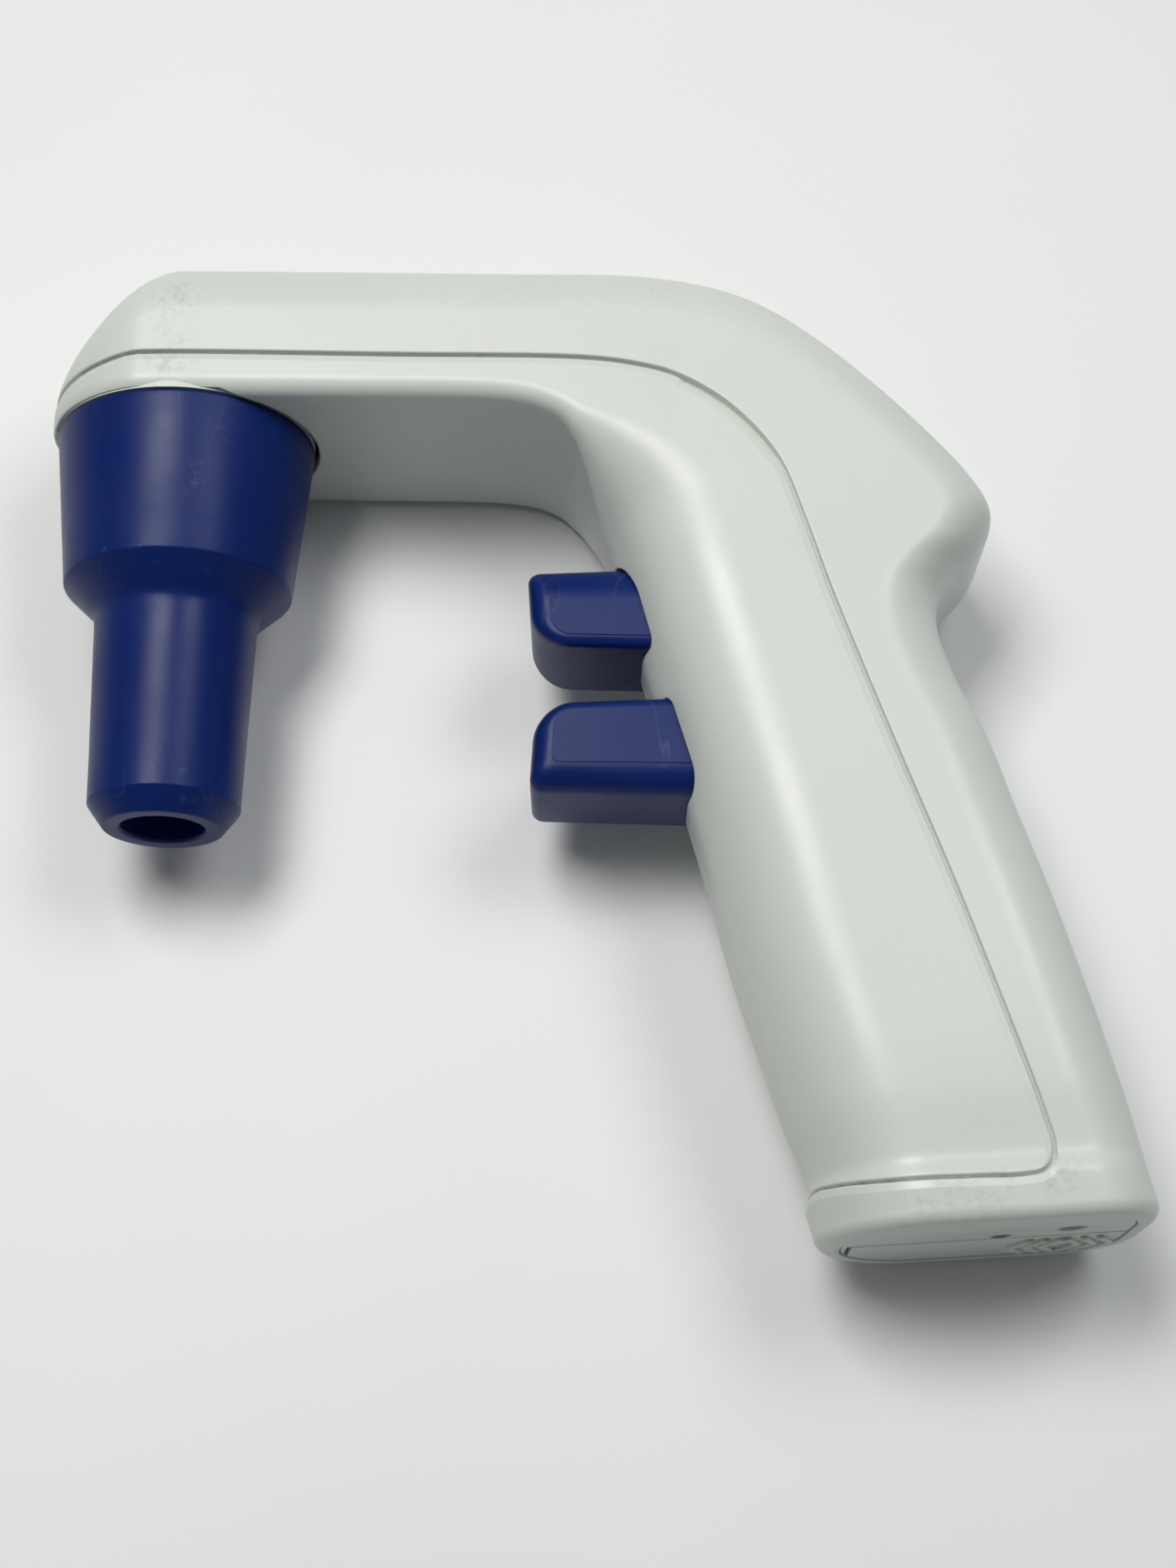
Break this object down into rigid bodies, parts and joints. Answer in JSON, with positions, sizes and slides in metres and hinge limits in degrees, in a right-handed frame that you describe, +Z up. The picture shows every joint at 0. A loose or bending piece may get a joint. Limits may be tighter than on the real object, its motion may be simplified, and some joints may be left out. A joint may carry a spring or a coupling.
{
  "type": "pipette controller",
  "caption": "Electronic pistol-grip controller for serological pipettes, with two trigger buttons, a screw-on nose cone and a battery foot, lying on its side.",
  "frame": {"origin": "centre of the footprint on the surface that the device lies on, under its left side", "axes": "+X along the barrel from the nose end towards the grip, -Y the way the nose cone points, +Z up from the surface, square to the plane of symmetry"},
  "size_m": [0.1594, 0.1444, 0.039],
  "materials": {
    "shell_plastic": "satin moulded, pale grey-green",
    "blue_plastic": "satin moulded, dark blue",
    "silicone": "matt",
    "white_plastic": "moulded",
    "membrane": "matt",
    "valve_resin": "machined",
    "black_plastic": "moulded",
    "steel": "bright",
    "brass": "turned",
    "hose": "translucent silicone",
    "cell_wrap": "shrink wrap",
    "foam": "matt",
    "board": "solder mask",
    "red_lead": "insulation",
    "black_lead": "insulation"
  },
  "bodies": {
    "housing": {"rear_shell": "shell_plastic", "front_shell": "shell_plastic", "nose_spigot": "white_plastic", "filter_seat_seal": "silicone", "spigot_screw_1": "steel", "spigot_screw_2": "steel", "spigot_screw_3": "steel", "valve_block": "valve_resin", "valve_cover": "valve_resin", "pump_motor": "steel", "motor_end_cap": "black_plastic", "connecting_rod": "black_plastic", "pump_frame": "steel", "pump_diaphragm": "silicone", "pump_valve_plate": "valve_resin", "pump_head": "valve_resin", "pump_screw_1": "steel", "pump_screw_2": "steel", "pump_screw_3": "steel", "pump_screw_4": "steel", "nose_hose": "hose", "suction_hose": "hose", "pressure_hose": "hose", "battery_cell_front": "cell_wrap", "battery_cell_rear": "cell_wrap", "battery_tray": "black_plastic", "battery_strap": "steel", "foam_pad": "foam", "charge_socket": "black_plastic", "circuit_board": "board", "aspirate_switch": "black_plastic", "dispense_switch": "black_plastic", "motor_connector": "white_plastic", "battery_lead_red": "red_lead", "battery_lead_black": "black_lead", "aspirate_return_spring": "steel", "dispense_return_spring": "steel"},
    "aspirate_button": {"aspirate_button": "blue_plastic", "aspirate_valve_stem": "steel", "aspirate_stem_seal": "silicone"},
    "dispense_button": {"dispense_button": "blue_plastic", "dispense_valve_stem": "steel", "dispense_stem_seal": "silicone"},
    "nose_core": {"pipette_adapter": "silicone", "filter_holder_lower": "white_plastic", "filter_membrane": "membrane", "filter_holder_upper": "white_plastic"},
    "nose_cone": {"nose_cone": "blue_plastic"},
    "battery_lid": {"battery_lid": "shell_plastic"},
    "motor_rotor": {"motor_shaft": "steel", "pump_eccentric": "brass"}
  },
  "joints": [
    {"name": "aspirate_button_press", "type": "slide", "parent": "housing", "child": "aspirate_button", "axis": [1, 0, 0], "range_m": [0, 0.0045], "stiffness_N_per_m": 300, "springref_m": -0.003, "deforming": ["aspirate_return_spring"]},
    {"name": "dispense_button_press", "type": "slide", "parent": "housing", "child": "dispense_button", "axis": [1, 0, 0], "range_m": [0, 0.0045], "stiffness_N_per_m": 300, "springref_m": -0.003, "deforming": ["dispense_return_spring"]},
    {"name": "nose_core_slide", "type": "slide", "parent": "housing", "child": "nose_core", "axis": [0, -1, 0], "range_m": [0, 0.006]},
    {"name": "nose_cone_turn", "type": "hinge", "parent": "nose_core", "child": "nose_cone", "pos_m": [-0.05953, 0.01502, 0.0195], "axis": [0, -1, 0], "range_deg": [0, 720]},
    {"name": "battery_lid_pull", "type": "slide", "parent": "housing", "child": "battery_lid", "axis": [0.0683, -0.9977, 0], "range_m": [0, 0.012]},
    {"name": "motor_rotor_spin", "type": "hinge", "parent": "housing", "child": "motor_rotor", "pos_m": [-0.01603, 0.05842, 0.0195], "axis": [1, 0, 0], "continuous": true}
  ],
  "couplings": [
    {"joint": "nose_cone_turn", "follows": "nose_core_slide", "rad_per_m": 2094.4}
  ]
}
